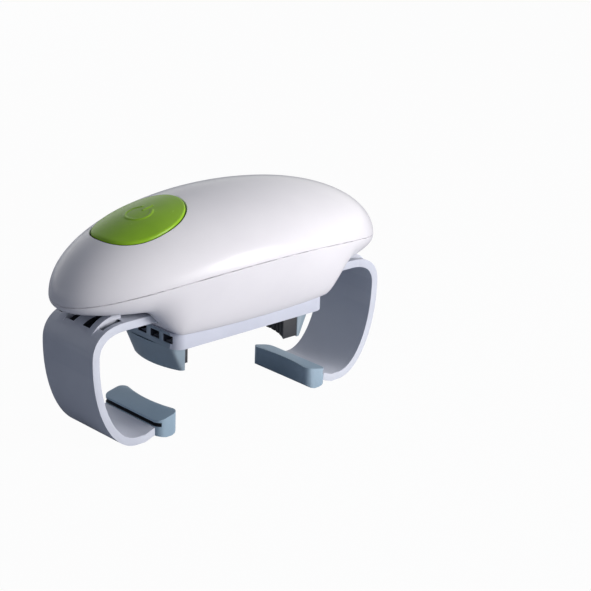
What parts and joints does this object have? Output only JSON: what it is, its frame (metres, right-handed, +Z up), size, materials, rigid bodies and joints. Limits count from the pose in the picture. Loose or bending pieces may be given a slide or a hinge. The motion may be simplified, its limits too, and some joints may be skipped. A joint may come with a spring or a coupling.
{
  "type": "electric jar opener",
  "caption": "Domed housing with a green press button on two C-shaped sliding arms that close on a jar, and a turning carrier whose jaws close on the lid and unscrew it.",
  "frame": {"origin": "centre of the object, on the surface the arms stand on", "axes": "+X along the housing away from the button, +Z up"},
  "size_m": [0.1968, 0.0868, 0.1132],
  "materials": {
    "shell_white": "gloss",
    "button_green": "gloss",
    "inner_white": "matt",
    "steel": "plain",
    "board_green": "matt",
    "black_plastic": "matt",
    "battery_wrap": "gloss",
    "nickel": "plated",
    "inner_cream": "matt",
    "motor_steel": "plain",
    "brass": "plain",
    "gear_white": "matt",
    "carrier_blue": "satin",
    "arm_grey": "satin",
    "pad_grey": "satin",
    "jaw_grey": "satin",
    "pad_black": "matt"
  },
  "bodies": {
    "housing": {"upper_shell": "shell_white", "lower_shell": "shell_white", "circuit_board": "board_green", "switch_body": "black_plastic", "board_screws": "steel", "button_spring": "steel", "battery_tray": "inner_white", "batteries": "battery_wrap", "contact_plates": "nickel", "contact_springs": "nickel", "chassis": "inner_cream", "gear_cover": "inner_cream", "gear_pins": "steel", "cover_screws": "steel", "shell_screws": "steel", "motor": "motor_steel", "turn_bush": "gear_white"},
    "battery_door": {"battery_door": "shell_white"},
    "button": {"power_button": "button_green", "switch_plunger": "inner_white"},
    "motor_rotor": {"motor_pinion": "brass"},
    "first_gear": {"first_gear": "gear_white"},
    "second_gear": {"second_gear": "gear_white"},
    "turning_carrier": {"carrier": "carrier_blue", "carrier_cover": "carrier_blue", "carrier_screws": "steel", "spindle": "steel", "drive_gear": "gear_white", "retaining_clip": "steel", "jaw_pin": "steel"},
    "jaw_pinion": {"jaw_pinion": "gear_white"},
    "left_jaw": {"left_jaw": "jaw_grey", "left_jaw_pad": "pad_black"},
    "right_jaw": {"right_jaw": "jaw_grey", "right_jaw_pad": "pad_black"},
    "arm_pinion": {"arm_pinion": "gear_white"},
    "left_arm": {"left_arm": "arm_grey", "left_pad": "pad_grey"},
    "right_arm": {"right_arm": "arm_grey", "right_pad": "pad_grey"}
  },
  "joints": [
    {"name": "door_lift", "type": "slide", "parent": "housing", "child": "battery_door", "axis": [0, 0, 1], "range_m": [0, 0.03]},
    {"name": "button_press", "type": "slide", "parent": "housing", "child": "button", "axis": [0, 0, -1], "range_m": [0, 0.002], "stiffness_N_per_m": 600, "springref_m": -0.002, "deforming": ["button_spring"]},
    {"name": "carrier_turn", "type": "hinge", "parent": "housing", "child": "turning_carrier", "pos_m": [0, 0, 0.053], "axis": [0, 0, 1], "continuous": true},
    {"name": "second_gear_turn", "type": "hinge", "parent": "housing", "child": "second_gear", "pos_m": [0.02839, -0.00248, 0.07], "axis": [0, 0, 1], "continuous": true},
    {"name": "first_gear_turn", "type": "hinge", "parent": "housing", "child": "first_gear", "pos_m": [0.04797, 0.00664, 0.07], "axis": [0, 0, 1], "continuous": true},
    {"name": "motor_turn", "type": "hinge", "parent": "housing", "child": "motor_rotor", "pos_m": [0.04032, -0.00661, 0.07], "axis": [0, 0, 1], "continuous": true},
    {"name": "right_jaw_slide", "type": "slide", "parent": "turning_carrier", "child": "right_jaw", "axis": [1, 0, 0], "range_m": [-0.015, 0.006]},
    {"name": "left_jaw_slide", "type": "slide", "parent": "turning_carrier", "child": "left_jaw", "axis": [-1, 0, 0], "range_m": [-0.015, 0.006]},
    {"name": "jaw_pinion_turn", "type": "hinge", "parent": "turning_carrier", "child": "jaw_pinion", "pos_m": [0, 0, 0.0485], "axis": [0, 0, 1], "range_deg": [-58, 144]},
    {"name": "right_arm_slide", "type": "slide", "parent": "housing", "child": "right_arm", "axis": [1, 0, 0], "range_m": [-0.02, 0.005]},
    {"name": "left_arm_slide", "type": "slide", "parent": "housing", "child": "left_arm", "axis": [-1, 0, 0], "range_m": [-0.02, 0.005]},
    {"name": "arm_pinion_turn", "type": "hinge", "parent": "housing", "child": "arm_pinion", "pos_m": [0, 0, 0.062], "axis": [0, 0, 1], "range_deg": [-32, 128]}
  ],
  "couplings": [
    {"joint": "second_gear_turn", "follows": "carrier_turn", "ratio": -4.1818},
    {"joint": "first_gear_turn", "follows": "carrier_turn", "ratio": 18.4},
    {"joint": "motor_turn", "follows": "carrier_turn", "ratio": -85.867},
    {"joint": "left_jaw_slide", "follows": "right_jaw_slide", "ratio": 1},
    {"joint": "jaw_pinion_turn", "follows": "right_jaw_slide", "rad_per_m": -166.67},
    {"joint": "left_arm_slide", "follows": "right_arm_slide", "ratio": 1},
    {"joint": "arm_pinion_turn", "follows": "right_arm_slide", "rad_per_m": -111.11}
  ]
}
